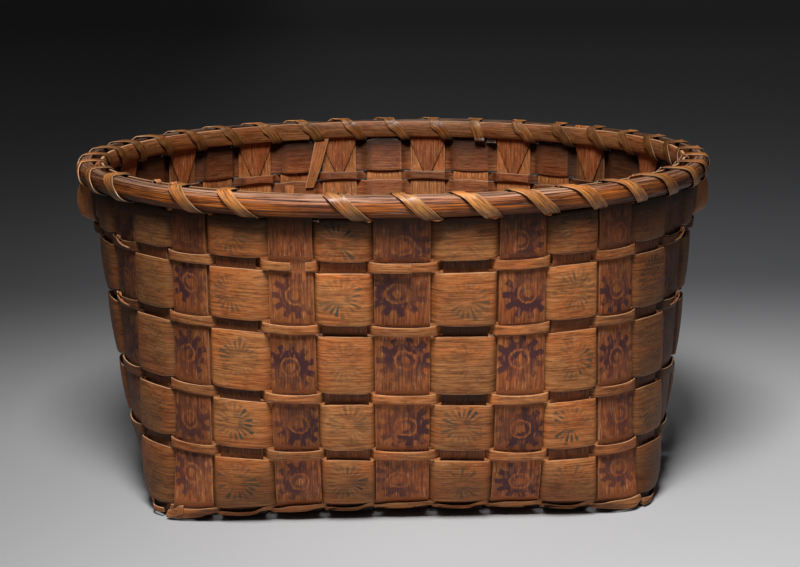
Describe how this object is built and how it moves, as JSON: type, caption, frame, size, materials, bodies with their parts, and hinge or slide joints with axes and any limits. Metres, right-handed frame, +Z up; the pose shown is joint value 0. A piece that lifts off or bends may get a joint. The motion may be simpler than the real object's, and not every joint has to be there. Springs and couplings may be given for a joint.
{
  "type": "splint basket",
  "caption": "Open basket plaited from wide flat splints, square at the base and round at the mouth, with a half-round rim hoop lashed on by a slanting strip and a short loop at each side.",
  "frame": {"origin": "middle of the base, on the surface that the basket stands on", "axes": "+Z up out of the mouth, +X to the right with the side loops at -X and +X, -Y to the front"},
  "size_m": [0.4086, 0.4074, 0.2],
  "materials": {
    "splint": "satin",
    "weaver": "satin",
    "bark": "rough",
    "lashing": "satin"
  },
  "bodies": {
    "root": {"splint_front_back_1": "splint", "splint_front_back_2": "splint", "splint_front_back_3": "splint", "splint_front_back_4": "splint", "splint_front_back_5": "splint", "splint_front_back_6": "splint", "splint_front_back_7": "splint", "splint_front_back_8": "splint", "splint_front_back_9": "splint", "splint_left_right_1": "splint", "splint_left_right_2": "splint", "splint_left_right_3": "splint", "splint_left_right_4": "splint", "splint_left_right_5": "splint", "splint_left_right_6": "splint", "splint_left_right_7": "splint", "splint_left_right_8": "splint", "splint_left_right_9": "splint", "twining_lower": "weaver", "twining_upper": "weaver", "wide_weaver_1": "weaver", "narrow_weaver_1": "weaver", "wide_weaver_2": "weaver", "narrow_weaver_2": "weaver", "wide_weaver_3": "weaver", "narrow_weaver_3": "weaver", "wide_weaver_4": "weaver", "narrow_weaver_4": "weaver", "wide_weaver_5": "weaver", "top_binder": "weaver", "inner_hoop": "splint", "outer_hoop": "bark", "lashing_right": "lashing", "lashing_left": "lashing", "side_strip_right": "weaver", "side_strip_left": "weaver"}
  },
  "joints": []
}
